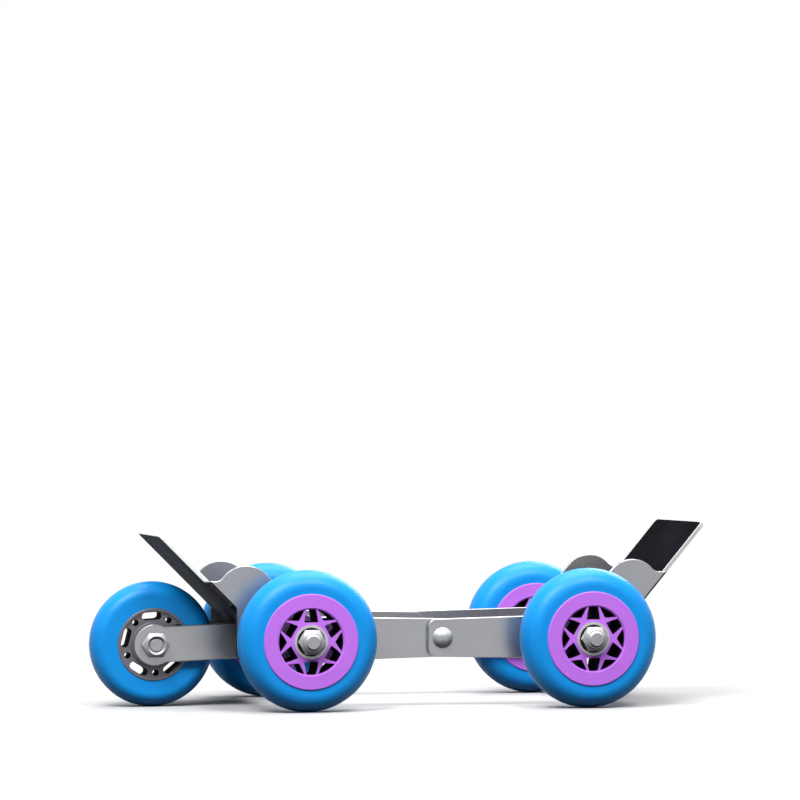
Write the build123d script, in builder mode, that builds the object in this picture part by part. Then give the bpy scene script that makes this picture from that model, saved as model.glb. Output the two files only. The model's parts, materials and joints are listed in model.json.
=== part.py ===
from build123d import *
from dataclasses import dataclass
from math import asin, atan2, cos, degrees, hypot, radians, sin, sqrt, tan
import os

# A five-wheeled folding dolly that carries a tyre which can't roll by itself.
# +X is the front, -Y is the right side, +Z is up, and the wheels stand on Z = 0.
# "Reach" is a distance from the hinge along X, towards the end of a half.
# "Out" is a distance from the middle plane along Y, and "height" is along Z.

RIGHT = -1
LEFT = 1
SIDES = {"right": RIGHT, "left": LEFT}
REAR = -1
FRONT = 1
HALVES = {"rear": REAR, "front": FRONT}

# Layout
rear_rail_length = 102.9
front_rail_length = 102.1
tail_setback = 99.0
frame_inside_width = 107.0
wheel_gap = 4.9

# Main wheels
wheel_diameter = 100.0
tyre_width = 30.0
tyre_crown_depth = 12.5
tyre_least_side = 1.5
hub_diameter = 67.5
hub_width = 32.0
hub_ring_width = 10.35
hub_edge_break = 0.6
hub_web_recess = 1.0
hub_barrel_wall = 1.3
hub_stop_height = 1.6
rim_key_width = 8.0
rim_key_height = 2.0

# Star of spokes in a main hub
star_points = 6
star_lip = 0.4
star_window_foot = 10.0
star_window_head = 6.2
star_spoke_tip = 0.7
star_notch_depth = 5.8
star_prong_hollow = 0.3

# Tail wheel
tail_wheel_diameter = 90.0
tail_tyre_width = 26.0
tail_crown_depth = 10.0
tail_hub_diameter = 52.3
tail_hub_width = 27.6
tail_disc_thickness = 23.6
tail_rim_wall = 1.8
tail_boss_wall = 3.4
tail_hole_count = 5
tail_slot_length = 14.2
tail_slot_margin = 1.2
tail_round_hole = 4.6
tail_slot_angle = 94.0

# Plates
plate_thickness = 3.0
plate_edge_break = 0.4
plate_outer_break = 0.6
rail_hinge_height = 27.0
rail_axle_height = 32.0
rail_overhang = 10.8
rail_corner_radius = 6.5
rear_ramp_stand_out = 3.0
front_ramp_stand_out = 1.4
ramp_corner_radius = 4.0
ear_foot_back = 5.0
ear_foot_radius = 14.0
ear_heel_setback = 46.4
ear_heel_radius = 4.0
shoulder_radius = 6.5
lobe_radius = 20.3
rear_slope = 45.1
front_slope = 50.1
rear_ramp_setback = 28.2
front_ramp_setback = 28.0
rear_ramp_top = 123.5
front_ramp_top = 130.5
rear_lobe_setback = 39.4
front_lobe_setback = 39.5
rear_lobe_top = 102.6
front_lobe_top = 105.5
rear_shoulder_height = 91.6
front_shoulder_height = 96.4

# Tail fork
tail_arm_thickness = 4.0
tail_arm_height = 25.5
tail_eye_diameter = 29.5
tail_arm_gap = 30.0
tail_arm_drop = 2.0

# Welds
ramp_weld_inset = 2.0
tail_weld_leg = 3.0
tail_weld_length = 24.0

# Hinge rivets
rivet_diameter = 10.0
rivet_dome_diameter = 15.0
rivet_dome_height = 4.8
rivet_tail_height = 2.4
hinge_washer_diameter = 22.0
hinge_washer_thickness = 0.8

# Main axles
axle_diameter = 12.0
bolt_head_flats = 18.0
bolt_head_height = 7.5
nut_flats = 17.0
nut_hex_height = 5.6
nut_collar_diameter = 14.2
nut_collar_height = 1.2
nut_collar_round = 0.9
bolt_end = 1.6
bolt_end_chamfer = 1.5
axle_collar_diameter = 15.4
outer_washer_thickness = 0.8
bearing_diameter = 24.0
bearing_width = 6.0
bearing_recess = 0.5

# Tail axle
tail_axle_diameter = 10.0
tail_nut_flats = 17.0
tail_nut_height = 8.4
tail_nut_mouth_diameter = 13.0
tail_nut_mouth_land = 0.3
tail_bolt_head_height = 6.4
tail_bolt_recess = 1.2
tail_bolt_end_chamfer = 0.8
tail_axle_collar_diameter = 13.4
tail_bearing_diameter = 26.0
tail_bearing_width = 8.0

# Ball bearings
bearing_ring_wall = 1.3
bearing_groove_depth = 0.55
bearing_shield_thickness = 0.6
bearing_shield_recess = 0.3
ball_count = 10

# Clearances
seat_play = 0.02
thread_play = 0.05
running_play = 0.05
hinge_play = 0.1
race_play = 0.1
shield_play = 0.25
hex_chamfer_angle = 30.0

# Derived places of the wheels
AXLE_REACH = {REAR: rear_rail_length, FRONT: front_rail_length}
axle_height = wheel_diameter / 2
tail_reach = rear_rail_length + tail_setback
tail_height = tail_wheel_diameter / 2
hinge_height = axle_height

# Derived places of the plates along Y
rear_plate_in = frame_inside_width / 2
rear_plate_out = rear_plate_in + plate_thickness
front_plate_in = rear_plate_out + hinge_washer_thickness + hinge_play
front_plate_out = front_plate_in + plate_thickness
PLATE_IN = {REAR: rear_plate_in, FRONT: front_plate_in}
PLATE_OUT = {REAR: rear_plate_out, FRONT: front_plate_out}
wheel_out = front_plate_out + wheel_gap + hub_width / 2

# Sizes that differ from half to half
SLOPE = {REAR: rear_slope, FRONT: front_slope}
RAMP_SETBACK = {REAR: rear_ramp_setback, FRONT: front_ramp_setback}
RAMP_TOP = {REAR: rear_ramp_top, FRONT: front_ramp_top}
RAMP_STAND_OUT = {REAR: rear_ramp_stand_out, FRONT: front_ramp_stand_out}
LOBE_REACH = {REAR: rear_rail_length + rear_lobe_setback, FRONT: front_rail_length + front_lobe_setback}
LOBE_HEIGHT = {REAR: rear_lobe_top - lobe_radius, FRONT: front_lobe_top - lobe_radius}
SHOULDER_HEIGHT = {REAR: rear_shoulder_height, FRONT: front_shoulder_height}
rail_bottom = axle_height - rail_axle_height / 2
rail_top = axle_height + rail_axle_height / 2


def ramp_reach(half, height, depth=0.0):
    """Reach of the plane that lies the given depth inside the ramp's outer face, at a height."""
    slope = radians(SLOPE[half])
    foot = AXLE_REACH[half] + RAMP_SETBACK[half]
    return foot + (height - axle_height) / tan(slope) - depth / sin(slope)


def heel(half):
    """Reach and height of the point where a side plate's upright heel turns into its slanted edge."""
    reach = AXLE_REACH[half] + ear_heel_setback
    run = reach - ramp_reach(half, axle_height, RAMP_STAND_OUT[half])
    return reach, axle_height + run * tan(radians(SLOPE[half]))


# The hinge's X puts the middle of the whole length over the origin
hinge_x = (tail_reach + tail_height - ramp_reach(FRONT, front_ramp_top)) / 2
tail_x = hinge_x - tail_reach
AXLE_X = {half: hinge_x + half * AXLE_REACH[half] for half in HALVES.values()}


@dataclass(frozen=True)
class Bearing:
    """Sizes of a ball bearing, and the places of its balls and grooves."""

    bore: float
    diameter: float
    width: float

    @property
    def pitch(self):
        """Radius of the circle that the balls' centres lie on."""
        return (self.bore + self.diameter) / 4

    @property
    def ball(self):
        """Radius of a ball that leaves the ring wall behind each groove."""
        return (self.diameter - self.bore) / 4 - bearing_ring_wall

    @property
    def land(self):
        """Distance from the pitch circle to the shoulder of each ring."""
        return self.ball - bearing_groove_depth


@dataclass(frozen=True)
class Nut:
    """Sizes of a lock nut."""

    bore: float
    flats: float
    hex_height: float
    collar_diameter: float
    collar_height: float
    collar_round: float

    @property
    def height(self):
        """Whole height of the nut."""
        return self.hex_height + self.collar_height


@dataclass(frozen=True)
class Tyre:
    """Sizes of a tyre's section."""

    diameter: float
    width: float
    crown_depth: float
    seat_diameter: float


main_bearing = Bearing(axle_diameter, bearing_diameter, bearing_width)
tail_bearing = Bearing(tail_axle_diameter, tail_bearing_diameter, tail_bearing_width)
main_nut = Nut(
    axle_diameter, nut_flats, nut_hex_height, nut_collar_diameter, nut_collar_height, nut_collar_round
)
main_tyre = Tyre(wheel_diameter, tyre_width, tyre_crown_depth, hub_diameter)
tail_tyre = Tyre(tail_wheel_diameter, tail_tyre_width, tail_crown_depth, tail_hub_diameter)


def upright_plane(y):
    """Upright plane across Y, seen from the right: local x is X and local y is Z."""
    return Plane.XZ.offset(-y)


def turning_plane(x, y, height, way):
    """Plane for a turned profile: local x is the radius, local y runs the given way along Y."""
    return Plane(origin=(x, y, height), x_dir=(1, 0, 0), z_dir=(0, 0, way))


def turning_axis(x, height):
    """Line along Y that a turned piece is made around."""
    return Axis((x, 0, height), (0, 1, 0))


def save(name, *pieces):
    """Write one node from its separate solids."""
    with BuildPart() as node:
        add(pieces)
    node.part.label = name
    export_step(node.part, f"parts/{name}.step")


# Turned and hexagonal hardware: each starts at Y = start and runs the given way along Y
def ring(x, start, height, way, inner_radius, outer_radius, length):
    """Plain tube or washer."""
    with BuildPart() as tube:
        with BuildSketch(turning_plane(x, start, height, way)):
            with Locations(((inner_radius + outer_radius) / 2, length / 2)):
                Rectangle(outer_radius - inner_radius, length)
        revolve(axis=turning_axis(x, height))
    return tube.part


def hexagon(x, start, height, way, flats, length, end_radius):
    """Hexagon with two flats level, chamfered at its start and tapered to the given radius at its end."""
    corner_radius = flats / 2 / cos(radians(30))
    slope = tan(radians(hex_chamfer_angle))
    start_drop = (corner_radius - flats / 2) * slope
    end_drop = (corner_radius - end_radius) * slope
    with BuildPart() as prism:
        with BuildSketch(upright_plane(start)):
            with Locations((x, height)):
                RegularPolygon(corner_radius, 6)
        extrude(amount=-way * length)
        with BuildSketch(turning_plane(x, start, height, way)):
            with BuildLine():
                Polyline(
                    (0, 0),
                    (flats / 2, 0),
                    (corner_radius, start_drop),
                    (corner_radius, length - end_drop),
                    (end_radius, length),
                    (0, length),
                    close=True,
                )
            make_face()
        revolve(axis=turning_axis(x, height), mode=Mode.INTERSECT)
    return prism.part


def bolt(x, seat, height, way, shank_length, diameter, flats, head_height, end_chamfer):
    """Hex bolt whose head rests on Y = seat and whose shank runs the given way."""
    head = hexagon(x, seat, height, -way, flats, head_height, flats / 2)
    with BuildPart() as body:
        add(head)
        with BuildSketch(upright_plane(seat)):
            with Locations((x, height)):
                Circle(diameter / 2)
        extrude(amount=-way * shank_length)
        tip = body.faces().sort_by(Axis((0, 0, 0), (0, way, 0)))[-1]
        chamfer(tip.edges(), end_chamfer)
    return body.part


def lock_nut(x, start, height, way, size):
    """Lock nut with a round collar on its outer side."""
    prism = hexagon(x, start, height, way, size.flats, size.hex_height, size.collar_diameter / 2)
    collar = ring(x, start, height, way, 0, size.collar_diameter / 2, size.height)
    with BuildPart() as nut:
        add(prism)
        add(collar)
        rim = nut.faces().sort_by(Axis((0, 0, 0), (0, way, 0)))[-1]
        fillet(rim.edges(), min(size.collar_round, size.collar_height))
        with BuildSketch(upright_plane(start)):
            with Locations((x, height)):
                Circle(size.bore / 2 + thread_play)
        extrude(amount=-way * size.height, mode=Mode.SUBTRACT)
    return nut.part


def tail_lock_nut(start, way):
    """Lock nut whose outer end is tapered round a countersunk mouth."""
    bore = tail_axle_diameter / 2 + thread_play
    mouth = tail_nut_mouth_diameter / 2
    rim = mouth + tail_nut_mouth_land
    prism = hexagon(tail_x, start, tail_height, way, tail_nut_flats, tail_nut_height, rim)
    with BuildPart() as nut:
        add(prism)
        with BuildSketch(turning_plane(tail_x, start, tail_height, way)):
            with BuildLine():
                Polyline(
                    (0, 0),
                    (bore, 0),
                    (bore, tail_nut_height - (mouth - bore)),
                    (mouth, tail_nut_height),
                    (0, tail_nut_height),
                    close=True,
                )
            make_face()
        revolve(axis=turning_axis(tail_x, tail_height), mode=Mode.SUBTRACT)
    return nut.part


# Ball bearings: each starts at Y = start and runs the given way along Y
def raceway_ring(x, start, height, way, size, low, high):
    """Inner or outer ring of a bearing, between two radii, with its ball groove."""
    with BuildPart() as race:
        with BuildSketch(turning_plane(x, start, height, way)):
            with Locations(((low + high) / 2, size.width / 2)):
                Rectangle(high - low, size.width)
            with Locations((size.pitch, size.width / 2)):
                Circle(size.ball + race_play, mode=Mode.SUBTRACT)
        revolve(axis=turning_axis(x, height))
    return race.part


def inner_ring(x, start, height, way, size):
    """Bearing ring that is clamped on the axle."""
    return raceway_ring(x, start, height, way, size, size.bore / 2 + seat_play, size.pitch - size.land)


def outer_ring(x, start, height, way, size):
    """Bearing ring that sits in the hub."""
    return raceway_ring(x, start, height, way, size, size.pitch + size.land, size.diameter / 2)


def bearing_balls(x, start, height, way, size):
    """Balls of one bearing, spread evenly around its pitch circle."""
    with BuildPart() as balls:
        with Locations(Plane(origin=(x, start + way * size.width / 2, height), z_dir=(0, -1, 0))):
            with PolarLocations(size.pitch, ball_count):
                Sphere(size.ball)
    return balls.part


def bearing_shields(x, start, height, way, size):
    """Two sheet metal shields of one bearing, held by its outer ring."""
    low = size.pitch - size.land + shield_play
    high = size.pitch + size.land - seat_play
    near = bearing_shield_recess
    far = size.width - bearing_shield_recess - bearing_shield_thickness
    return [
        ring(x, start + way * depth, height, way, low, high, bearing_shield_thickness) for depth in (near, far)
    ]


# Wheels
def tyre(x, y, height, size):
    """Tyre with flat sides, a crown as deep as its wall allows, and a groove that grips the hub's key."""
    seat = size.seat_diameter / 2 + seat_play
    crown = min(size.crown_depth, size.diameter / 2 - seat - tyre_least_side)
    shoulder = size.diameter / 2 - crown
    side = size.width / 2
    key = rim_key_width / 2 + seat_play
    with BuildPart() as body:
        with BuildSketch(turning_plane(x, y, height, LEFT)):
            with BuildLine():
                Polyline(
                    (shoulder, -side),
                    (seat, -side),
                    (seat, -key),
                    (seat + rim_key_height, -key),
                    (seat + rim_key_height, key),
                    (seat, key),
                    (seat, side),
                    (shoulder, side),
                )
                EllipticalCenterArc((shoulder, 0), crown, side, start_angle=-90, arc_size=180)
            make_face()
        revolve(axis=turning_axis(x, height))
    return body.part


def star_opening(*corners, across):
    """Opening in a main hub, through its corners in turn: the sides numbered in across are straight."""
    with BuildSketch() as opening:
        with BuildLine():
            for index, corner in enumerate(corners):
                following = corners[(index + 1) % len(corners)]
                if index in across:
                    Line(corner, following)
                else:
                    SagittaArc(corner, following, -star_prong_hollow)
        make_face()
    return opening.sketch


def main_hub(x, y, height):
    """Moulded hub: rim with a key, barrel with bearing seats, and a star of spokes right through."""
    rim = hub_diameter / 2
    ring_inner = rim - hub_ring_width
    barrel = bearing_diameter / 2 + hub_barrel_wall
    seat = bearing_diameter / 2 + seat_play
    stop = bearing_diameter / 2 - hub_stop_height
    face = hub_width / 2
    seat_end = face - bearing_recess - bearing_width
    web_outer = face - hub_web_recess
    half_key = rim_key_width / 2
    window_reach = ring_inner - star_lip
    window_foot = barrel + star_lip
    tip_angle = asin((star_window_head / 2 + star_spoke_tip) / window_reach)
    notch_half_width = ring_inner * tan(radians(180 / star_points) - tip_angle)
    window = star_opening(
        (window_foot, -star_window_foot / 2),
        (ring_inner, -star_window_head / 2),
        (ring_inner, star_window_head / 2),
        (window_foot, star_window_foot / 2),
        across=(1, 3),
    )
    notch = star_opening(
        (window_reach - star_notch_depth, 0),
        (ring_inner, -notch_half_width),
        (ring_inner, notch_half_width),
        across=(1,),
    )
    with BuildPart() as hub:
        with BuildSketch(turning_plane(x, y, height, LEFT)):
            with BuildLine():
                upper_half = Polyline(
                    (stop, 0),
                    (stop, seat_end),
                    (seat, seat_end),
                    (seat, web_outer),
                    (ring_inner, web_outer),
                    (ring_inner, face - hub_edge_break),
                    (ring_inner + hub_edge_break, face),
                    (rim - hub_edge_break, face),
                    (rim, face - hub_edge_break),
                    (rim, half_key),
                    (rim + rim_key_height, half_key),
                    (rim + rim_key_height, 0),
                )
                mirror(upper_half, about=Plane.XZ)
            make_face()
        revolve(axis=turning_axis(x, height))
        with BuildSketch(upright_plane(y)):
            with Locations((x, height)):
                with PolarLocations(0, star_points, start_angle=180 / star_points):
                    add(window)
                with PolarLocations(0, star_points):
                    add(notch)
                Circle(window_reach, mode=Mode.INTERSECT)
        extrude(amount=hub_width, both=True, mode=Mode.SUBTRACT)
    return hub.part


def tail_wheel_hub():
    """Turned metal hub with a boss for the bearings and a ring of lightening holes."""
    rim = tail_hub_diameter / 2
    rim_inner = rim - tail_rim_wall
    boss = tail_bearing_diameter / 2 + tail_boss_wall
    seat = tail_bearing_diameter / 2 + seat_play
    stop = tail_bearing_diameter / 2 - hub_stop_height
    face = tail_hub_width / 2
    disc = tail_disc_thickness / 2
    seat_end = face - tail_bearing_width
    half_key = rim_key_width / 2
    slot_width = rim_inner - boss - 2 * tail_slot_margin
    hole_circle = (rim_inner + boss) / 2
    round_hole_angle = tail_slot_angle + 180 / tail_hole_count
    with BuildPart() as hub:
        with BuildSketch(turning_plane(tail_x, 0, tail_height, LEFT)):
            with BuildLine():
                upper_half = Polyline(
                    (stop, 0),
                    (stop, seat_end),
                    (seat, seat_end),
                    (seat, face),
                    (boss - hub_edge_break, face),
                    (boss, face - hub_edge_break),
                    (boss, disc),
                    (rim_inner, disc),
                    (rim_inner, face),
                    (rim - hub_edge_break, face),
                    (rim, face - hub_edge_break),
                    (rim, half_key),
                    (rim + rim_key_height, half_key),
                    (rim + rim_key_height, 0),
                )
                mirror(upper_half, about=Plane.XZ)
            make_face()
        revolve(axis=turning_axis(tail_x, tail_height))
        with BuildSketch(upright_plane(0)):
            with Locations((tail_x, tail_height)):
                with PolarLocations(hole_circle, tail_hole_count, start_angle=tail_slot_angle):
                    SlotOverall(tail_slot_length, slot_width, rotation=90)
                with PolarLocations(hole_circle, tail_hole_count, start_angle=round_hole_angle):
                    Circle(tail_round_hole / 2)
        extrude(amount=tail_hub_width, both=True, mode=Mode.SUBTRACT)
    return hub.part


# Frame plates
def break_edges(plate, side):
    """Chamfer the edges of an upright plate, more on its outer face than on its inner one."""
    outwards = Axis((0, 0, 0), (0, side, 0))
    chamfer(plate.faces().sort_by(outwards)[-1].edges(), plate_outer_break)
    chamfer(plate.faces().sort_by(outwards)[0].edges(), plate_edge_break)


def ear_flank(half):
    """Point where the ear's inner flank, a straight line, runs into the round lobe."""
    foot_reach = AXLE_REACH[half] - ear_foot_back
    run = LOBE_REACH[half] - foot_reach
    rise = LOBE_HEIGHT[half] - rail_top
    length = sqrt(run**2 + rise**2 - lobe_radius**2)
    angle = atan2(rise, run) + asin(lobe_radius / hypot(run, rise))
    return foot_reach + length * cos(angle), rail_top + length * sin(angle)


def side_plate(half, side):
    """Rail and ear cut from one sheet, with holes for the rivet and the axle bolt."""
    shoulder = SHOULDER_HEIGHT[half]
    lobe_reach = LOBE_REACH[half]
    lobe_height = LOBE_HEIGHT[half]
    valley_reach = lobe_reach + sqrt(lobe_radius**2 - (shoulder - lobe_height) ** 2)
    rivet_play = running_play if half == FRONT else seat_play

    def at(reach, height):
        return hinge_x + half * reach, height

    def ramp_edge(height):
        return at(ramp_reach(half, height, RAMP_STAND_OUT[half]), height)

    foot = at(AXLE_REACH[half] - ear_foot_back, rail_top)
    end_low = at(-rail_overhang, hinge_height - rail_hinge_height / 2)
    end_high = at(-rail_overhang, hinge_height + rail_hinge_height / 2)
    valley = at(valley_reach, shoulder)
    heel_reach, heel_height = heel(half)
    heel_low = at(heel_reach, rail_bottom)
    heel_high = at(heel_reach, heel_height)
    with BuildPart() as plate:
        with BuildSketch(upright_plane(side * PLATE_IN[half])) as outline:
            with Locations(at(lobe_reach, lobe_height)):
                Circle(lobe_radius)
            Polygon(
                at(0, rail_bottom),
                ramp_edge(rail_bottom),
                ramp_edge(RAMP_TOP[half]),
                at(0, RAMP_TOP[half]),
                align=None,
                mode=Mode.INTERSECT,
            )
            Polygon(
                end_low,
                at(AXLE_REACH[half] - ear_foot_back, rail_bottom),
                heel_low,
                heel_high,
                ramp_edge(shoulder),
                at(lobe_reach, shoulder),
                at(lobe_reach, lobe_height),
                at(*ear_flank(half)),
                foot,
                end_high,
                align=None,
            )
            for corner, radius in (
                (end_low, rail_corner_radius),
                (end_high, rail_corner_radius),
                (foot, ear_foot_radius),
                (valley, shoulder_radius),
                (heel_low, rail_corner_radius),
                (heel_high, ear_heel_radius),
            ):
                fillet(outline.vertices().sort_by_distance((*corner, 0))[0], radius)
        extrude(amount=-side * plate_thickness)
        break_edges(plate, side)
        with BuildSketch(upright_plane(side * PLATE_IN[half])):
            with Locations(at(0, hinge_height)):
                Circle(rivet_diameter / 2 + rivet_play)
            with Locations(at(AXLE_REACH[half], axle_height)):
                Circle(axle_diameter / 2 + seat_play)
        extrude(amount=-side * plate_thickness, mode=Mode.SUBTRACT)
    return plate.part


def ramp_frame(half):
    """Lower corner of a ramp's outer face, with unit vectors up the slope and out of the upper face."""
    slope = radians(SLOPE[half])
    low = Vector(hinge_x + half * ramp_reach(half, rail_bottom), 0, rail_bottom)
    along = Vector(half * cos(slope), 0, sin(slope))
    normal = Vector(-half * sin(slope), 0, cos(slope))
    return low, along, normal


def ramp_plate(half):
    """Sloping plate between a half's two side plates."""
    low, along, normal = ramp_frame(half)
    high = low + along * ((RAMP_TOP[half] - rail_bottom) / along.Z)
    thick = normal * plate_thickness
    with BuildPart() as plate:
        with BuildSketch(Plane.XZ):
            Polygon(*[(point.X, point.Z) for point in (low, high, high + thick, low + thick)], align=None)
        extrude(amount=PLATE_IN[half], both=True)
        corners = plate.edges().filter_by(Axis((0, 0, 0), tuple(normal))).sort_by(Axis.Z)[-2:]
        fillet(corners, ramp_corner_radius)
        faces = plate.faces().filter_by(Plane(origin=(0, 0, 0), z_dir=normal))
        chamfer(faces.edges(), plate_edge_break)
    return plate.part


def ramp_weld(half, side):
    """Rounded corner weld along a ramp's edge, on the slanted edge of its side plate."""
    low, along, normal = ramp_frame(half)
    seam = low + normal * RAMP_STAND_OUT[half] + Vector(0, side * PLATE_IN[half], 0)
    heel_height = heel(half)[1]
    start = (heel_height - seam.Z) / along.Z + ramp_weld_inset
    end = (SHOULDER_HEIGHT[half] - seam.Z) / along.Z - ramp_weld_inset
    width = plate_thickness - plate_outer_break
    height = RAMP_STAND_OUT[half] - plate_edge_break
    plane = Plane(origin=seam + along * start, x_dir=(0, side, 0), z_dir=along)
    turn = -1 if plane.y_dir.dot(normal) > 0 else 1
    with BuildPart() as bead:
        with BuildSketch(plane):
            with BuildLine():
                Polyline((width, 0), (0, 0), (0, turn * height))
                EllipticalCenterArc((0, 0), width, height, start_angle=0, arc_size=turn * 90)
            make_face()
        extrude(amount=end - start)
    return bead.part


# Tail fork
def tail_arm(side):
    """Flat arm with a round eye for the tail axle, cut to lie against the rear ramp."""
    end_height = axle_height - tail_arm_drop
    run = tail_reach - ramp_reach(REAR, end_height)
    tilt = degrees(atan2(end_height - tail_height, run))
    ramp_foot = (hinge_x - ramp_reach(REAR, 0), 0)
    ramp_head = (hinge_x - ramp_reach(REAR, rear_ramp_top), rear_ramp_top)
    back = tail_x - run
    with BuildPart() as arm:
        with BuildSketch(upright_plane(side * tail_arm_gap / 2)):
            with Locations((tail_x, tail_height)):
                Rectangle(2 * run, tail_arm_height, rotation=tilt, align=(Align.MIN, Align.CENTER))
            Polygon(ramp_foot, ramp_head, (back, rear_ramp_top), (back, 0), align=None, mode=Mode.INTERSECT)
            with Locations((tail_x, tail_height)):
                Circle(tail_eye_diameter / 2)
        extrude(amount=-side * tail_arm_thickness)
        break_edges(arm, side)
        with BuildSketch(upright_plane(side * tail_arm_gap / 2)):
            with Locations((tail_x, tail_height)):
                Circle(tail_axle_diameter / 2 + seat_play)
        extrude(amount=-side * tail_arm_thickness, mode=Mode.SUBTRACT)
    return arm.part


def tail_arm_weld(side, face):
    """Weld with a triangular section along a tail arm's end, on one face of the arm: -1 inside, 1 outside."""
    low, along, normal = ramp_frame(REAR)
    middle = (axle_height - tail_arm_drop - rail_bottom) / along.Z
    out = tail_arm_gap / 2 + (tail_arm_thickness if face == 1 else 0)
    start = low + along * (middle - tail_weld_length / 2) + Vector(0, side * out, 0)
    plane = Plane(origin=start, x_dir=(0, side * face, 0), z_dir=along)
    turn = -1 if plane.y_dir.dot(normal) > 0 else 1
    with BuildPart() as bead:
        with BuildSketch(plane):
            Polygon((0, 0), (tail_weld_leg, 0), (0, turn * tail_weld_leg), align=None)
        extrude(amount=tail_weld_length)
    return bead.part


# Hinge
def hinge_rivet(side):
    """Rivet with a domed head outside, a shank through both plates and a flat tail inside."""
    shank = rivet_diameter / 2
    head = rivet_dome_diameter / 2
    dome_radius = (head**2 + rivet_dome_height**2) / (2 * rivet_dome_height)
    start = rear_plate_in - rivet_tail_height
    seat = front_plate_out + hinge_play - start
    with BuildPart() as rivet:
        with BuildSketch(turning_plane(hinge_x, side * start, hinge_height, side)):
            with BuildLine():
                Polyline(
                    (0, seat + rivet_dome_height),
                    (0, 0),
                    (head - plate_edge_break, 0),
                    (head, plate_edge_break),
                    (head, rivet_tail_height),
                    (shank, rivet_tail_height),
                    (shank, seat),
                    (head, seat),
                )
                RadiusArc((head, seat), (0, seat + rivet_dome_height), -dome_radius)
            make_face()
        revolve(axis=turning_axis(hinge_x, hinge_height))
    return rivet.part


def hinge_washer(side):
    """Thin washer between the two plates of a hinge, carried by the rear plate."""
    bore = rivet_diameter / 2 + seat_play
    rim = hinge_washer_diameter / 2
    return ring(hinge_x, side * rear_plate_out, hinge_height, side, bore, rim, hinge_washer_thickness)


# Write the nodes
os.makedirs("parts", exist_ok=True)

# Stack of pieces along a main axle, from the side plate outwards
bearing_in = wheel_out - hub_width / 2 + bearing_recess
bearing_out = wheel_out + hub_width / 2 - bearing_recess
bearing_starts = (bearing_in, bearing_out - bearing_width)
sleeve_start = bearing_in + bearing_width
sleeve_length = bearing_out - bearing_width - sleeve_start
nut_start = bearing_out + outer_washer_thickness
bolt_tip = nut_start + main_nut.height + bolt_end
axle_bore = axle_diameter / 2 + thread_play
axle_collar = axle_collar_diameter / 2

for half_name, half in HALVES.items():
    x = AXLE_X[half]
    plate_in = PLATE_IN[half]
    plate_out = PLATE_OUT[half]
    shank = bolt_tip - plate_in
    bolts = []
    nuts = []
    washers = []
    spacers = []
    sleeves = []
    inner_rings = []
    for side_name, side in SIDES.items():
        wheel = f"{half_name}_{side_name}"
        seat = side * plate_in
        head = (bolt_head_flats, bolt_head_height)
        bolts.append(bolt(x, seat, axle_height, side, shank, axle_diameter, *head, bolt_end_chamfer))
        nuts.append(lock_nut(x, side * nut_start, axle_height, side, main_nut))
        stack = (
            (washers, bearing_out, outer_washer_thickness),
            (spacers, plate_out, bearing_in - plate_out),
            (sleeves, sleeve_start, sleeve_length),
        )
        for group, start, length in stack:
            group.append(ring(x, side * start, axle_height, side, axle_bore, axle_collar, length))
        outer_rings = []
        balls = []
        shields = []
        for start in bearing_starts:
            place = (x, side * start, axle_height, side, main_bearing)
            inner_rings.append(inner_ring(*place))
            outer_rings.append(outer_ring(*place))
            balls.append(bearing_balls(*place))
            shields.extend(bearing_shields(*place))
        save(f"{wheel}_side_plate", side_plate(half, side))
        save(f"{wheel}_tyre", tyre(x, side * wheel_out, axle_height, main_tyre))
        save(f"{wheel}_hub", main_hub(x, side * wheel_out, axle_height))
        save(f"{wheel}_bearing_outer_rings", *outer_rings)
        save(f"{wheel}_bearing_balls", *balls)
        save(f"{wheel}_bearing_shields", *shields)
    save(f"{half_name}_axle_bolts", *bolts)
    save(f"{half_name}_lock_nuts", *nuts)
    save(f"{half_name}_axle_washers", *washers)
    save(f"{half_name}_axle_spacers", *spacers)
    save(f"{half_name}_bearing_sleeves", *sleeves)
    save(f"{half_name}_bearing_inner_rings", *inner_rings)
    save(f"{half_name}_ramp_plate", ramp_plate(half))
    save(f"{half_name}_ramp_welds", *[ramp_weld(half, side) for side in SIDES.values()])

# Tail fork and hinge
for side_name, side in SIDES.items():
    save(f"tail_{side_name}_arm", tail_arm(side))
save("tail_arm_welds", *[tail_arm_weld(side, face) for side in SIDES.values() for face in (-1, 1)])
save("hinge_rivets", *[hinge_rivet(side) for side in SIDES.values()])
save("hinge_washers", *[hinge_washer(side) for side in SIDES.values()])

# Stack of pieces along the tail axle, from the middle plane outwards
tail_face = tail_hub_width / 2
tail_arm_out = tail_arm_gap / 2 + tail_arm_thickness
tail_bore = tail_axle_diameter / 2 + thread_play
tail_collar = tail_axle_collar_diameter / 2
tail_sleeve_end = tail_face - tail_bearing_width
tail_shank = 2 * tail_arm_out + tail_nut_height - tail_bolt_recess
tail_inner_rings = []
tail_outer_rings = []
tail_balls = []
tail_shields = []
tail_spacers = []
for side in SIDES.values():
    place = (tail_x, side * tail_sleeve_end, tail_height, side, tail_bearing)
    tail_inner_rings.append(inner_ring(*place))
    tail_outer_rings.append(outer_ring(*place))
    tail_balls.append(bearing_balls(*place))
    tail_shields.extend(bearing_shields(*place))
    spacer_length = tail_arm_gap / 2 - tail_face
    tail_spacers.append(ring(tail_x, side * tail_face, tail_height, side, tail_bore, tail_collar, spacer_length))
tail_sleeve = ring(tail_x, -tail_sleeve_end, tail_height, LEFT, tail_bore, tail_collar, 2 * tail_sleeve_end)
tail_head = (tail_nut_flats, tail_bolt_head_height)
tail_bolt = bolt(
    tail_x, tail_arm_out, tail_height, RIGHT, tail_shank, tail_axle_diameter, *tail_head, tail_bolt_end_chamfer
)
save("tail_tyre", tyre(tail_x, 0, tail_height, tail_tyre))
save("tail_hub", tail_wheel_hub())
save("tail_bearing_outer_rings", *tail_outer_rings)
save("tail_bearing_balls", *tail_balls)
save("tail_bearing_shields", *tail_shields)
save("tail_bearing_inner_rings", *tail_inner_rings)
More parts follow.
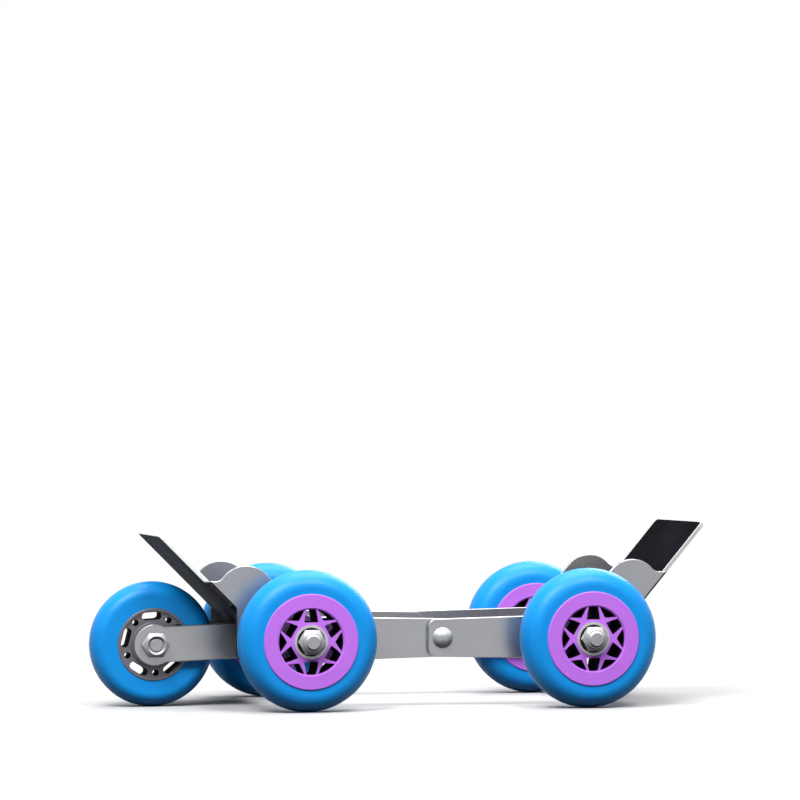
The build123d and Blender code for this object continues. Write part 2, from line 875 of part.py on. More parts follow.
save("tail_bearing_sleeve", tail_sleeve)
save("tail_axle_spacers", *tail_spacers)
save("tail_axle_bolt", tail_bolt)
save("tail_lock_nut", tail_lock_nut(-tail_arm_out, RIGHT))
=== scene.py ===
import json
import math
from dataclasses import dataclass

import bpy
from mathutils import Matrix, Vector


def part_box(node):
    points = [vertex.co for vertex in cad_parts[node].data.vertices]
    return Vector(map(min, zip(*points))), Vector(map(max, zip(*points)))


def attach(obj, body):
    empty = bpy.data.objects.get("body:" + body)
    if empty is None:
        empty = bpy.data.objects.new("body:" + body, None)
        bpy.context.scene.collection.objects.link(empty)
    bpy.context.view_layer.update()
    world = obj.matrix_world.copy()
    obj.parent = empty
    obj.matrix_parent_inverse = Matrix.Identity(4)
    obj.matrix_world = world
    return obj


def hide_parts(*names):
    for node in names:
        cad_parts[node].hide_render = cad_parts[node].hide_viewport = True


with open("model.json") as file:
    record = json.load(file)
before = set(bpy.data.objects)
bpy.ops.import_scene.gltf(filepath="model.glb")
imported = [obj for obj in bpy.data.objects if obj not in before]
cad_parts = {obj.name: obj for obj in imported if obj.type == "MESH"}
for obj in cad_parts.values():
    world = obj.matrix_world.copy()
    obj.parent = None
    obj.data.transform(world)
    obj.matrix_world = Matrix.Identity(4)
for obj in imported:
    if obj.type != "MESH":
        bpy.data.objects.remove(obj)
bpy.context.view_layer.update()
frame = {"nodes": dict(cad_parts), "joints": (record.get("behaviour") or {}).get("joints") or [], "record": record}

SCENE = bpy.context.scene
SCENE.view_settings.view_transform = "Standard"
RECORD = frame["record"]
NODES = frame["nodes"]
SLOT_OF = {entry["node"]: entry["material_slot"] for entry in RECORD["subparts"]}
JOINT_AT = {joint["name"]: Vector(joint["pos_m"]) for joint in frame["joints"]}
RAMP_NORMAL = {mount["name"].split("_")[0]: Vector(mount["axis"]) for mount in RECORD["mounts"]}
MM = 0.001
SIDES = (-1, 1)
ACROSS = Vector((0.0, 1.0, 0.0))


def size_mm(node):
    """Size of a node along each axis, in mm."""
    low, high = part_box(node)
    return (high - low) / MM


# Halves: which way along X is outward, and how bright the bare edge of the ramp is; the rear edge is paler as a
# painted highlight
OUTWARD = {"rear": -1.0, "front": 1.0, "tail": 0.0}
EDGE_TONE_AND_HIGHLIGHT = {"rear": 0.72, "front": 0.42}

# Wheel sizes that the finishes follow
WHEEL_MM = size_mm("rear_right_tyre").z
TAIL_WHEEL_MM = size_mm("tail_tyre").z
HUB_WIDTH_MM = size_mm("rear_right_hub").y

# Tyres: how far below the crown the scuffed tread starts, and where it is full
TREAD_START_MM = 3.0
TREAD_FULL_MM = 0.6

# Main hubs: how far below the face the painted shade inside starts, and where it is full
HUB_SHADE_START_MM = 1.3
HUB_SHADE_FULL_MM = 2.6

# Tail hub: the radii that its holes lie between
TAIL_HOLES_MM = (17.0, 23.8)

# Ramps: height above the weld over which the cut edge turns bare
BARE_FADE = 2 * MM

# Hinge rivets
RIVET_SHANK = 10.0 * MM
RIVET_TAIL = 2.4 * MM
RIVET_EDGE = 0.4 * MM
RIVET_SEAT = 0.1 * MM
DOME_STEPS = 24
LATHE_STEPS = 96

# Weld beads: lengths along the seam, and sizes as shares of the weld's own section
BEAD_RING_STEP = 0.3 * MM
BEAD_RIPPLE_LENGTH = 1.9 * MM
BEAD_END_LENGTH = 2.2 * MM
BEAD_FEWEST_RINGS = 8
BEAD_ARC_POINTS = 9
BEAD_ROOT = -0.02
BEAD_LEAST_SIZE = 0.06
BEAD_RIPPLE_DEPTH = 0.09
BEAD_RIPPLE_MIDDLE = 0.65

# Edges of new meshes that bend more than this stay sharp
SHARP_ANGLE = math.radians(35.0)

# Camera: where the photograph was taken from
CAMERA_AT = Vector((-0.5414, -2.4876, 0.1830))
CAMERA_TARGET = Vector((0.0067, 0.0, 0.2214))
SENSOR_MM = 36.0
LENS_MM = 156.2
CLIP_NEAR = 0.05
CLIP_FAR = 50.0

# Light from all round, where the world isn't seen itself
AMBIENT = (0.12, 0.125, 0.135)

# Floor
FLOOR_HALF = 6.0
FLOOR_PALE = (0.60, 0.60, 0.60)
FLOOR_BOUNCE = (0.03, 0.03, 0.033)
FLOOR_FADE_FROM = 0.30
FLOOR_FADE_TO = 0.75

# Sockets of the colour mix node, which share their names
MIX_FACTOR = 0
MIX_FIRST = 6
MIX_SECOND = 7
MIX_RESULT = 2


@dataclass(frozen=True)
class Lamp:
    """Square soft light that points at the dolly."""

    place: Vector
    size: float
    power: float


LAMPS = {
    "key": Lamp(place=Vector((-0.9, -1.1, 1.7)), size=0.9, power=44.0),
    "top": Lamp(place=Vector((0.2, 0.3, 1.9)), size=1.4, power=31.0),
    "fill": Lamp(place=Vector((0.5, -1.65, 2.1)), size=1.0, power=43.0),
    "back": Lamp(place=Vector((1.3, 1.9, 1.4)), size=1.2, power=26.0),
}


@dataclass(frozen=True)
class Turned:
    """Look of a turned or rolled metal."""

    dark: tuple
    light: tuple
    smooth: float
    rough: float
    ring_mm: float
    bump_mm: float
    metallic: float
    specular: float
    # Painted shading: a painted highlight on faces that slope up and painted shade on faces that slope down
    painted_shading: bool = False


LOOKS = {
    "plated_hardware": Turned(
        dark=(0.29, 0.295, 0.31),
        light=(0.43, 0.435, 0.45),
        smooth=0.22,
        rough=0.34,
        ring_mm=0.32,
        bump_mm=0.004,
        metallic=0.10,
        specular=0.3,
        painted_shading=True,
    ),
    "rivets": Turned(
        dark=(0.32, 0.325, 0.345),
        light=(0.42, 0.425, 0.445),
        smooth=0.18,
        rough=0.26,
        ring_mm=0.32,
        bump_mm=0.003,
        metallic=0.05,
        specular=0.5,
        painted_shading=True,
    ),
    "bearing_steel": Turned(
        dark=(0.42, 0.42, 0.43),
        light=(0.56, 0.56, 0.57),
        smooth=0.24,
        rough=0.38,
        ring_mm=0.45,
        bump_mm=0.008,
        metallic=0.25,
        specular=0.5,
    ),
    "hub_aluminium": Turned(
        dark=(0.135, 0.132, 0.148),
        light=(0.20, 0.197, 0.215),
        smooth=0.32,
        rough=0.46,
        ring_mm=0.70,
        bump_mm=0.016,
        metallic=0.35,
        specular=0.1,
    ),
    # Bearing shields: near black, as painted shade in the gaps round the nuts
    "shields": Turned(
        dark=(0.010, 0.010, 0.011),
        light=(0.022, 0.022, 0.023),
        smooth=0.40,
        rough=0.55,
        ring_mm=0.60,
        bump_mm=0.008,
        metallic=0.0,
        specular=0.1,
    ),
}


class Finish:
    """One material's node tree, with short calls for the nodes that the finishes share."""

    def __init__(self, name, metallic=0.0, specular=0.5):
        self.material = bpy.data.materials.new(name)
        self.material.use_nodes = True
        self.tree = self.material.node_tree
        self.shader = self.tree.nodes["Principled BSDF"]
        self.coords = self.tree.nodes.new("ShaderNodeTexCoord").outputs
        self.shader.inputs["Metallic"].default_value = metallic
        self.shader.inputs["Specular IOR Level"].default_value = specular

    def feed(self, socket, value):
        """Link a socket, or set a constant on it."""
        if isinstance(value, bpy.types.NodeSocket):
            self.tree.links.new(value, socket)
        else:
            socket.default_value = value

    def add(self, kind, inputs, **settings):
        """New node with its settings made and its inputs fed."""
        node = self.tree.nodes.new(kind)
        for key, value in settings.items():
            setattr(node, key, value)
        for key, value in inputs.items():
            self.feed(node.inputs[key], value)
        return node

    def math(self, operation, *values):
        """Result of a math node."""
        return self.add("ShaderNodeMath", dict(enumerate(values)), operation=operation).outputs[0]

    def plus(self, first, second):
        """Sum of two values."""
        return self.math("ADD", first, second)

    def times(self, first, second):
        """Product of two values."""
        return self.math("MULTIPLY", first, second)

    def rest(self, value):
        """What a value leaves of 1."""
        return self.math("SUBTRACT", 1.0, value)

    def step(self, value, low, high):
        """Smooth step from 0 at low to 1 at high."""
        inputs = {"Value": value, "From Min": low, "From Max": high}
        return self.add("ShaderNodeMapRange", inputs, interpolation_type="SMOOTHSTEP").outputs["Result"]

    def span(self, value, low, high):
        """A 0 to 1 value spread from low to high."""
        inputs = {"Value": value, "To Min": low, "To Max": high}
        return self.add("ShaderNodeMapRange", inputs).outputs["Result"]

    def mix(self, factor, first, second):
        """Colour between two colours."""
        inputs = {MIX_FACTOR: factor, MIX_FIRST: colour(first), MIX_SECOND: colour(second)}
        return self.add("ShaderNodeMix", inputs, data_type="RGBA").outputs[MIX_RESULT]

    def stretch(self, vector, scale):
        """Coordinates scaled along each axis."""
        return self.add("ShaderNodeMapping", {"Vector": vector, "Scale": scale}).outputs["Vector"]

    def noise(self, vector, scale, detail):
        """Noise value from 0 to 1, mostly near the middle. On a place the scale is per metre."""
        inputs = {"Vector": vector, "Scale": scale, "Detail": detail}
        return self.add("ShaderNodeTexNoise", inputs).outputs["Fac"]

    def wave(self, value, period):
        """Sine wave from -1 to 1 along a value."""
        return self.math("SINE", self.times(value, 2 * math.pi / period))

    def axes(self, vector):
        """The three parts of a vector."""
        return self.add("ShaderNodeSeparateXYZ", {"Vector": vector}).outputs

    def hypotenuse(self, first, second):
        """Length of two parts at right angles."""
        return self.math("SQRT", self.plus(self.times(first, first), self.times(second, second)))

    def facing(self, direction):
        """How squarely the surface faces along a direction of the piece, either way: 1 is square."""
        inputs = {0: self.coords["Normal"], 1: tuple(direction)}
        dot = self.add("ShaderNodeVectorMath", inputs, operation="DOT_PRODUCT").outputs["Value"]
        return self.math("ABSOLUTE", dot)

    def wheel_radius(self, diameter):
        """Radius from the axle in mm, in a round piece of the given diameter."""
        x, _, z = self.axes(self.coords["Generated"])
        out_x = self.math("MULTIPLY_ADD", x, diameter, -diameter / 2)
        out_z = self.math("MULTIPLY_ADD", z, diameter, -diameter / 2)
        return self.hypotenuse(out_x, out_z)

    def face_depth(self, width):
        """Depth in mm below the nearer face of a piece of the given width."""
        _, y, _ = self.axes(self.coords["Generated"])
        from_middle = self.math("ABSOLUTE", self.math("MULTIPLY_ADD", y, width, -width / 2))
        return self.math("SUBTRACT", width / 2, from_middle)

    def axle_radius(self, centre):
        """Radius in mm from a line along Y through a point."""
        x, _, z = self.axes(self.coords["Object"])
        out_x = self.math("SUBTRACT", x, centre.x)
        out_z = self.math("SUBTRACT", z, centre.z)
        return self.times(self.hypotenuse(out_x, out_z), 1 / MM)

    def surface(self, base, roughness, height, bump_mm):
        """Connect colour, roughness and a bump whose height runs over about 1 unit."""
        self.feed(self.shader.inputs["Base Color"], base)
        self.feed(self.shader.inputs["Roughness"], roughness)
        bump = self.add("ShaderNodeBump", {"Height": height, "Distance": bump_mm * MM, "Strength": 1.0})
        self.tree.links.new(bump.outputs["Normal"], self.shader.inputs["Normal"])
        return self.material


def colour(value):
    """A colour given as three numbers gets its fourth."""
    if isinstance(value, bpy.types.NodeSocket):
        return value
    return (*value, 1.0)


def tyre_finish(name, diameter):
    """Cast polyurethane: cloudy blue, satin, with a scuffed tread."""
    deep = (0.004, 0.28, 0.77)
    bright = (0.008, 0.32, 0.84)
    scuffed = (0.08, 0.33, 0.62)
    scuff_cover = 0.35
    scuff_roughness = 0.2
    crown = diameter / 2
    finish = Finish(name, specular=0.24)
    place = finish.coords["Object"]
    clouds = finish.noise(place, scale=38.0, detail=4.0)
    grain = finish.noise(place, scale=1900.0, detail=2.0)
    streaks = finish.noise(finish.stretch(place, (260.0, 900.0, 260.0)), scale=1.0, detail=4.0)
    tread = finish.step(finish.wheel_radius(diameter), crown - TREAD_START_MM, crown - TREAD_FULL_MM)
    scuffs = finish.times(tread, finish.step(streaks, low=0.5, high=0.68))
    body = finish.mix(clouds, deep, bright)
    base = finish.mix(finish.times(scuffs, scuff_cover), body, scuffed)
    satin = finish.span(clouds, low=0.32, high=0.44)
    roughness = finish.plus(satin, finish.times(scuffs, scuff_roughness))
    height = finish.plus(grain, finish.times(streaks, tread))
    return finish.surface(base, roughness, height, bump_mm=0.03)


def hub_finish():
    """Moulded purple plastic with a fine grain, painted near black inside its windows as painted shade."""
    deep = (0.54, 0.170, 0.85)
    bright = (0.59, 0.195, 0.90)
    painted_hollow_shade = (0.006, 0.004, 0.008)
    finish = Finish("purple_moulding", specular=0.25)
    place = finish.coords["Object"]
    clouds = finish.noise(place, scale=55.0, detail=3.0)
    grain = finish.noise(place, scale=2600.0, detail=2.0)
    # Below the face the hub is painted near black: painted shade inside the windows
    inside = finish.step(finish.face_depth(HUB_WIDTH_MM), HUB_SHADE_START_MM, HUB_SHADE_FULL_MM)
    face = finish.mix(clouds, deep, bright)
    base = finish.mix(inside, face, painted_hollow_shade)
    satin = finish.span(clouds, low=0.40, high=0.54)
    roughness = finish.math("MAXIMUM", satin, inside)
    return finish.surface(base, roughness, grain, bump_mm=0.02)


def plate_finish(name, outward):
    """Satin plated sheet steel: faint lines along the rail, and a painted highlight on edges that face up.

    Edges that face outward, along X the given way, and don't face up are painted near black: painted shade beside
    the ramp.
    """
    dark = (0.305, 0.307, 0.322)
    light = (0.365, 0.367, 0.382)
    painted_edge_highlight = (0.44, 0.44, 0.45)
    black = (0.020, 0.019, 0.020)
    cloud_share = 0.9
    line_share = 0.1
    shaded_edge_roughness = 0.5
    finish = Finish(name, metallic=0.75, specular=0.3)
    place = finish.coords["Object"]
    normal_x, _, normal_z = finish.axes(finish.coords["Normal"])
    clouds = finish.noise(place, scale=30.0, detail=4.0)
    lines = finish.noise(finish.stretch(place, (60.0, 900.0, 2600.0)), scale=1.0, detail=3.0)
    # Edges that face up get a painted highlight
    upward = finish.step(normal_z, low=0.02, high=0.25)
    broken = finish.rest(finish.step(finish.facing(ACROSS), low=0.55, high=0.95))
    edge = finish.times(broken, upward)
    # Outward edges that don't face up are painted near black as painted shade
    away = finish.step(finish.times(normal_x, outward), low=0.15, high=0.35)
    painted_edge_shade = finish.times(away, finish.rest(upward))
    tone = finish.plus(finish.times(clouds, cloud_share), finish.times(lines, line_share))
    face = finish.mix(tone, dark, light)
    base = finish.mix(painted_edge_shade, finish.mix(edge, face, painted_edge_highlight), black)
    satin = finish.span(clouds, low=0.24, high=0.32)
    roughness = finish.plus(satin, finish.times(painted_edge_shade, shaded_edge_roughness))
    return finish.surface(base, roughness, clouds, bump_mm=0.004)


def ramp_finish(name, normal, edge_tone, weld_top):
    """Black coated sheet steel, dull on its upper face, whose cut edges are bare above the welds. Its upper face
    is painted darker as painted shade, and its underside lighter as painted light.
    """
    # Underside tones: the coat lightened as painted light
    lit_under_dark = (0.028, 0.035, 0.048)
    lit_under_light = (0.042, 0.050, 0.066)
    lit_under_worn = (0.070, 0.076, 0.092)
    # Upper face tones: the coat darkened as painted shade
    shaded_upper_dark = (0.0035, 0.0035, 0.005)
    shaded_upper_light = (0.009, 0.0095, 0.013)
    shaded_upper_worn = (0.020, 0.021, 0.026)
    # The bare edge tone, raised on the rear ramp as a painted highlight
    bare = (edge_tone, edge_tone, edge_tone)
    wear_cover = 0.2
    rub_height = 0.4
    upper_roughness = 0.30
    edge_polish = 0.34
    finish = Finish(name, specular=0.015)
    place = finish.coords["Object"]
    clouds = finish.noise(place, scale=28.0, detail=4.0)
    peel = finish.noise(place, scale=850.0, detail=2.0)
    rub = finish.noise(finish.stretch(place, (45.0, 700.0, 45.0)), scale=1.0, detail=5.0)
    _, _, place_z = finish.axes(place)
    _, _, normal_z = finish.axes(finish.coords["Normal"])
    upper = finish.step(normal_z, low=-0.1, high=0.1)
    cut = finish.rest(finish.step(finish.facing(normal), low=0.80, high=0.97))
    edge = finish.times(cut, finish.step(place_z, weld_top, weld_top + BARE_FADE))
    wear = finish.times(finish.step(rub, low=0.60, high=0.85), wear_cover)
    under = finish.mix(clouds, lit_under_dark, lit_under_light)
    face = finish.mix(finish.step(clouds, low=0.25, high=0.75), shaded_upper_dark, shaded_upper_light)
    # Painted shade on the upper face, painted light on the underside
    coat = finish.mix(upper, under, face)
    wear_and_highlight = finish.mix(upper, lit_under_worn, shaded_upper_worn)
    base = finish.mix(edge, finish.mix(wear, coat, wear_and_highlight), bare)
    satin = finish.span(clouds, low=0.58, high=0.70)
    dull = finish.plus(satin, finish.times(upper, upper_roughness))
    roughness = finish.math("SUBTRACT", dull, finish.times(edge, edge_polish))
    finish.feed(finish.shader.inputs["Metallic"], edge)
    height = finish.plus(peel, finish.times(rub, rub_height))
    return finish.surface(base, roughness, height, bump_mm=0.02)


def turned_finish(name, centre, look, holes=None):
    """Turned metal with fine rings round its axle, and painted shade on the walls of holes between two radii.

    With painted shading on, the metal gets a painted highlight where it slopes up and painted shade where it
    slopes down.
    """
    painted_hollow_shade = (0.012, 0.011, 0.013)
    # A painted highlight for faces that slope up, and a painted shade for faces that slope down
    wear_and_highlight = (0.64, 0.645, 0.67)
    painted_shade_below = (0.030, 0.029, 0.031)
    ring_wobble_mm = 0.25
    cloud_share = 0.75
    ring_share = 0.12
    ring_height = 0.5
    pit_height = 0.7
    finish = Finish(name, metallic=look.metallic, specular=look.specular)
    place = finish.coords["Object"]
    clouds = finish.noise(place, scale=160.0, detail=4.0)
    pits = finish.noise(place, scale=2400.0, detail=2.0)
    radius = finish.axle_radius(centre)
    rings = finish.wave(finish.plus(radius, finish.times(clouds, ring_wobble_mm)), look.ring_mm)
    tone = finish.plus(finish.times(clouds, cloud_share), finish.span(rings, 0.0, ring_share))
    base = finish.mix(tone, look.dark, look.light)
    roughness = finish.span(clouds, look.smooth, look.rough)
    if holes:
        inner, outer = holes
        between = finish.times(
            finish.math("GREATER_THAN", radius, inner),
            finish.math("LESS_THAN", radius, outer),
        )
        # Steep walls of the holes get painted shade
        steep = finish.rest(finish.step(finish.facing(ACROSS), low=0.4, high=0.7))
        wall = finish.times(steep, between)
        base = finish.mix(wall, base, painted_hollow_shade)
        roughness = finish.math("MAXIMUM", roughness, wall)
    # Painted highlight where the metal slopes up, painted shade where it slopes down
    if look.painted_shading:
        _, _, normal_z = finish.axes(finish.coords["Normal"])
        above = finish.step(normal_z, low=0.10, high=0.55)
        below = finish.rest(finish.step(normal_z, low=-0.75, high=-0.05))
        base = finish.mix(below, finish.mix(above, base, wear_and_highlight), painted_shade_below)
    height = finish.plus(finish.times(rings, ring_height), finish.times(pits, pit_height))
    return finish.surface(base, roughness, height, look.bump_mm)


def weld_finish():
    """Weld metal under a thin black coat: dark, with brown and blue heat tints."""
    dark = (0.020, 0.016, 0.015)
    brown = (0.042, 0.037, 0.036)
    blue = (0.022, 0.025, 0.036)
    finish = Finish("weld_metal", specular=0.12)
    place = finish.coords["Object"]
    clouds = finish.noise(place, scale=190.0, detail=4.0)
    specks = finish.noise(place, scale=1700.0, detail=3.0)
    tint = finish.mix(finish.step(clouds, low=0.40, high=0.62), dark, brown)
    base = finish.mix(finish.step(clouds, low=0.60, high=0.74), tint, blue)
    roughness = finish.span(specks, low=0.40, high=0.62)
    return finish.surface(base, roughness, specks, bump_mm=0.03)


@dataclass(frozen=True)
class Seam:
    """A weld in the corner between a ramp and a plate that stands on it.

    The start and end are along the seam, the corner is along the ramp's normal, and corner_out is out
    from the middle. The width is negative where the weld lies inward from its corner.
    """

    side: int
    along: Vector
    normal: Vector
    start: float
    end: float
    corner: float
    height: float
    corner_out: float
    width: float

    def point(self, run, across, down):
        """Point at a distance along the seam, and at shares of its width and height from the corner."""
        out = self.corner_out + across * self.width
        place = self.along * run + self.normal * (self.corner - down * self.height)
        return place + ACROSS * self.side * out


def read_seam(points, normal, side, span):
    """Seam that one solid of a weld node fills.

    The span gives the distances out from the middle between which the solid lies, and whether its
    corner is on the inner side.
    """
    low_out, high_out, corner_inside = span
    mine = [point for point in points if point.y * side > 0 and low_out <= abs(point.y) <= high_out]
    along = normal.cross(ACROSS) * math.copysign(1.0, normal.x)
    runs = [point.dot(along) for point in mine]
    depths = [point.dot(normal) for point in mine]
    outs = [abs(point.y) for point in mine]
    width = max(outs) - min(outs)
    return Seam(
        side=side,
        along=along,
        normal=normal,
        start=min(runs),
        end=max(runs),
        corner=max(depths),
        height=max(depths) - min(depths),
        corner_out=min(outs) if corner_inside else max(outs),
        width=width if corner_inside else -width,
    )


def ripple(run, angle):
    """Share of a bead's full size, at a distance along it and an angle round it."""
    crescent = run + BEAD_RIPPLE_LENGTH / 2 * math.sin(2 * angle)
    phase = (crescent / BEAD_RIPPLE_LENGTH) % 1.0
    return min(1.0, 1 + BEAD_RIPPLE_DEPTH * (math.sqrt(phase) - BEAD_RIPPLE_MIDDLE))


def add_bead(verts, faces, seam):
    """One bead with crescent ripples, rounded off at both ends."""
    length = seam.end - seam.start
    count = max(BEAD_FEWEST_RINGS, round(length / BEAD_RING_STEP))
    first = len(verts)
    for index in range(count + 1):
        run = seam.start + length * index / count
        to_end = min(run - seam.start, seam.end - run)
        swell = math.sqrt(max(0.0, 1 - (1 - min(1.0, to_end / BEAD_END_LENGTH)) ** 2))
        verts.append(seam.point(run, BEAD_ROOT, BEAD_ROOT))
        for step in range(BEAD_ARC_POINTS):
            angle = math.pi / 2 * step / (BEAD_ARC_POINTS - 1)
            size = max(BEAD_LEAST_SIZE, swell * ripple(run, angle))
            verts.append(seam.point(run, size * math.cos(angle), size * math.sin(angle)))
    join_rings(faces, first, count, BEAD_ARC_POINTS + 1)


def join_rings(faces, first, count, ring):
    """Faces between rings of points, and a cap on each end."""
    for index in range(count):
        low = first + index * ring
        high = low + ring
        for step in range(ring):
            after = (step + 1) % ring
            faces.append((low + step, low + after, high + after, high + step))
    last = first + count * ring
    faces.append(tuple(reversed(range(first, first + ring))))
    faces.append(tuple(range(last, last + ring)))


def make_welds():
    """Rippled beads along both edges of each ramp and on both faces of each tail arm."""
    arm_low, arm_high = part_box("tail_left_arm")
    arm_middle = (arm_low.y + arm_high.y) / 2
    ramp_spans = [(0.0, math.inf, True)]
    arm_spans = [(arm_middle, math.inf, True), (0.0, arm_middle, False)]
    material = weld_finish()
    for node, half, spans in (
        ("rear_ramp_welds", "rear", ramp_spans),
        ("front_ramp_welds", "front", ramp_spans),
        ("tail_arm_welds", "rear", arm_spans),
    ):
        points = [vertex.co for vertex in NODES[node].data.vertices]
        verts = []
        faces = []
        for span in spans:
            for side in SIDES:
                add_bead(verts, faces, read_seam(points, RAMP_NORMAL[half], side, span))
        name = node.replace("welds", "weld_beads")
        new_piece(name, verts, faces, f"{half}_half", node, material)


def lathe(verts, faces, profile, centre, side):
    """Solid of revolution about a line along Y.

    The profile runs from pole to pole, and gives radius and distance out from the middle.
    """
    first = len(verts)
    inner = profile[1:-1]
    verts.append((centre.x, side * profile[0][1], centre.z))
    for radius, out in inner:
        for step in range(LATHE_STEPS):
            angle = 2 * math.pi * step / LATHE_STEPS * side
            x = centre.x + radius * math.sin(angle)
            z = centre.z + radius * math.cos(angle)
            verts.append((x, side * out, z))
    verts.append((centre.x, side * profile[-1][1], centre.z))
    last = len(verts) - 1
    top = last - LATHE_STEPS
    for step in range(LATHE_STEPS):
        after = (step + 1) % LATHE_STEPS
        faces.append((first, first + 1 + after, first + 1 + step))
        for index in range(len(inner) - 1):
            low = first + 1 + index * LATHE_STEPS
            high = low + LATHE_STEPS
            faces.append((low + step, low + after, high + after, high + step))
        faces.append((top + step, top + after, last))


def make_rivets():
    """Smooth domed rivets in place of the hinge's rivet node."""
    node = "hinge_rivets"
    centre = JOINT_AT["fold_hinge"]
    low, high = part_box(node)
    head = (high.x - low.x) / 2
    top = high.y
    plate_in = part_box("rear_left_side_plate")[0].y
    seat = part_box("front_left_side_plate")[1].y + RIVET_SEAT
    end = plate_in - RIVET_TAIL
    rise = top - seat
    dome = (head**2 + rise**2) / (2 * rise)
    reach = math.asin(head / dome)
    profile = [
        (0.0, end),
        (head - RIVET_EDGE, end),
        (head, end + RIVET_EDGE),
        (head, plate_in),
        (RIVET_SHANK / 2, plate_in),
        (RIVET_SHANK / 2, seat),
    ]
    for step in range(DOME_STEPS + 1):
        angle = reach * (1 - step / DOME_STEPS)
        profile.append((dome * math.sin(angle), top - dome * (1 - math.cos(angle))))
    verts = []
    faces = []
    for side in SIDES:
        lathe(verts, faces, profile, centre, side)
    material = turned_finish("rivet_domes", centre, LOOKS["rivets"])
    new_piece("hinge_rivet_domes", verts, faces, "rear_half", node, material)


def new_piece(name, verts, faces, body, node, material):
    """Smooth mesh that stands for a CAD node."""
    mesh = bpy.data.meshes.new(name)
    mesh.from_pydata(verts, [], faces)
    mesh.validate()
    mesh.update()
    mesh.shade_smooth()
    mesh.set_sharp_from_angle(angle=SHARP_ANGLE)
    mesh.materials.append(material)
    piece = bpy.data.objects.new(name, mesh)
    SCENE.collection.objects.link(piece)
    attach(piece, body)
    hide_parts(node)


def axle_of(group):
    """Point on the line that the round pieces of a group of nodes turn about."""
    if group == "hinge":
        return JOINT_AT["fold_hinge"]
    if group == "tail":
        return JOINT_AT["tail_wheel_spin"]
    return JOINT_AT[f"{group}_right_wheel_spin"]


def look_of(node, slot):
    """Name of the turned look that a node gets, if it gets one."""
    # Bearing shields get the near-black look: painted shade
    return "shields" if node.endswith("shields") else slot


def dress(node, material):
    """Give a CAD node its finish."""
    slots = NODES[node].data.materials
    slots.clear()
    slots.append(material)


def make_finishes():
    """Finish every CAD node, apart from the welds, which beads stand for."""
    main_tyre = tyre_finish("blue_polyurethane_main", WHEEL_MM)
    tail_tyre = tyre_finish("blue_polyurethane_tail", TAIL_WHEEL_MM)
    hub = hub_finish()
    plates = {name: plate_finish(f"{name}_satin_plate", way) for name, way in OUTWARD.items()}
    ramps = {}
    for half, normal in RAMP_NORMAL.items():
        weld_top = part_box(f"{half}_ramp_welds")[1].z
        ramps[half] = ramp_finish(f"{half}_ramp_coat", normal, EDGE_TONE_AND_HIGHLIGHT[half], weld_top)
    turned = {}
    for node, slot in SLOT_OF.items():
        group = node.split("_")[0]
        look = look_of(node, slot)
        if look in LOOKS:
            key = f"{group}_{look}"
            if key not in turned:
                holes = TAIL_HOLES_MM if node == "tail_hub" else None
                turned[key] = turned_finish(key, axle_of(group), LOOKS[look], holes)
            dress(node, turned[key])
        elif slot == "blue_polyurethane":
            dress(node, tail_tyre if group == "tail" else main_tyre)
        elif slot == "purple_plastic":
            dress(node, hub)
        elif slot == "plate_steel":
            dress(node, plates[group])
        elif slot == "black_coated_steel":
            dress(node, ramps[group])


def make_camera():
    """Camera at the photograph's viewing angle."""
    data = bpy.data.cameras.new("camera")
    data.sensor_width = SENSOR_MM
    data.lens = LENS_MM
    data.clip_start = CLIP_NEAR
    data.clip_end = CLIP_FAR
    camera = bpy.data.objects.new("camera", data)
    camera.location = CAMERA_AT
    camera.rotation_euler = (CAMERA_TARGET - CAMERA_AT).to_track_quat("-Z", "Y").to_euler()
    SCENE.collection.objects.link(camera)
    SCENE.camera = camera


def make_lamps():
    """Soft studio lights."""
    for name, lamp in LAMPS.items():
        data = bpy.data.lights.new(name, "AREA")
        data.shape = "SQUARE"
        data.size = lamp.size
        data.energy = lamp.power
        light = bpy.data.objects.new(name, data)
        light.location = lamp.place
        light.rotation_euler = (-lamp.place).to_track_quat("-Z", "Y").to_euler()
        SCENE.collection.objects.link(light)


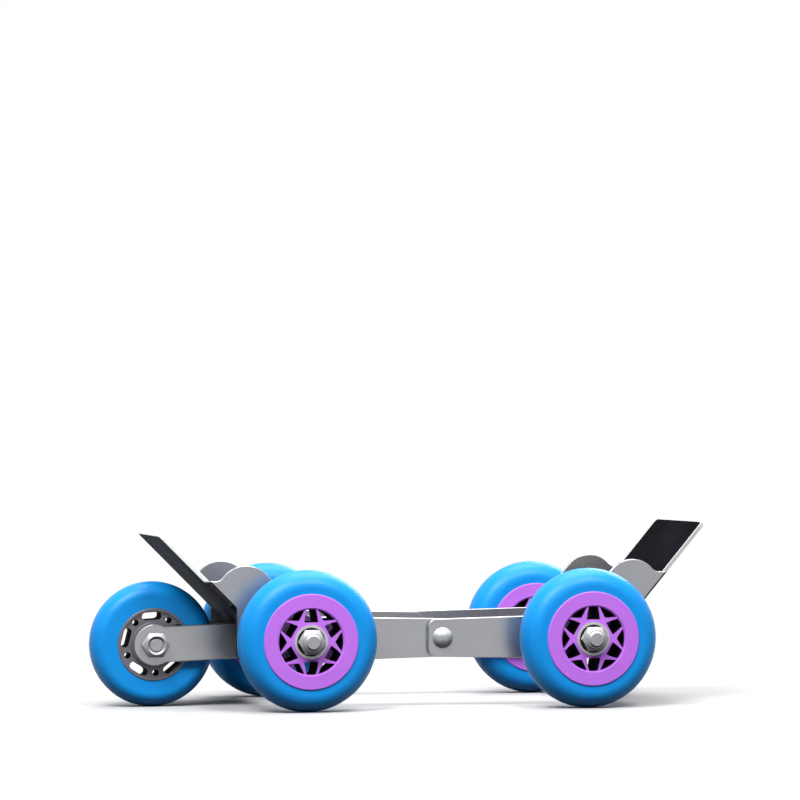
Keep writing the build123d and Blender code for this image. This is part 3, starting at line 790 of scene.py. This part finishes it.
def seen_directly(tree):
    """1 for rays from the camera, mirrors and glass, 0 for rays that only light the scene."""
    path = tree.nodes.new("ShaderNodeLightPath")
    value = path.outputs["Is Camera Ray"]
    for name in ("Is Glossy Ray", "Is Transmission Ray"):
        join = tree.nodes.new("ShaderNodeMath")
        join.operation = "MAXIMUM"
        tree.links.new(value, join.inputs[0])
        tree.links.new(path.outputs[name], join.inputs[1])
        value = join.outputs[0]
    return value


def mix_shaders(tree, factor, first, second, target):
    """Show a mix of two shaders on an output node."""
    mix = tree.nodes.new("ShaderNodeMixShader")
    tree.links.new(factor, mix.inputs[0])
    tree.links.new(first.outputs[0], mix.inputs[1])
    tree.links.new(second.outputs[0], mix.inputs[2])
    tree.links.new(mix.outputs[0], tree.nodes[target].inputs["Surface"])


def make_world():
    """White where it is seen, and a gentle light from all round."""
    world = bpy.data.worlds.new("studio")
    SCENE.world = world
    world.use_nodes = True
    tree = world.node_tree
    shown = tree.nodes["Background"]
    shown.inputs["Color"].default_value = (1.0, 1.0, 1.0, 1.0)
    shown.inputs["Strength"].default_value = 1.0
    soft = tree.nodes.new("ShaderNodeBackground")
    soft.inputs["Color"].default_value = colour(AMBIENT)
    mix_shaders(tree, seen_directly(tree), soft, shown, "World Output")


def make_floor():
    """Pale floor that keeps the shadow and fades to white away from the dolly."""
    far = FLOOR_HALF
    mesh = bpy.data.meshes.new("floor")
    mesh.from_pydata([(-far, -far, 0), (far, -far, 0), (far, far, 0), (-far, far, 0)], [], [(0, 1, 2, 3)])
    floor = bpy.data.objects.new("floor", mesh)
    SCENE.collection.objects.link(floor)
    finish = Finish("floor", specular=0.0)
    tree = finish.tree
    seen = seen_directly(tree)
    finish.feed(finish.shader.inputs["Base Color"], finish.mix(seen, FLOOR_BOUNCE, FLOOR_PALE))
    finish.shader.inputs["Roughness"].default_value = 1.0
    place = finish.coords["Object"]
    away = finish.add("ShaderNodeVectorMath", {0: place}, operation="LENGTH").outputs["Value"]
    fade = finish.times(finish.step(away, FLOOR_FADE_FROM, FLOOR_FADE_TO), seen)
    white = tree.nodes.new("ShaderNodeEmission")
    mix_shaders(tree, fade, finish.shader, white, "Material Output")
    mesh.materials.append(finish.material)


make_finishes()
make_rivets()
make_welds()
make_camera()
make_lamps()
make_world()
make_floor()
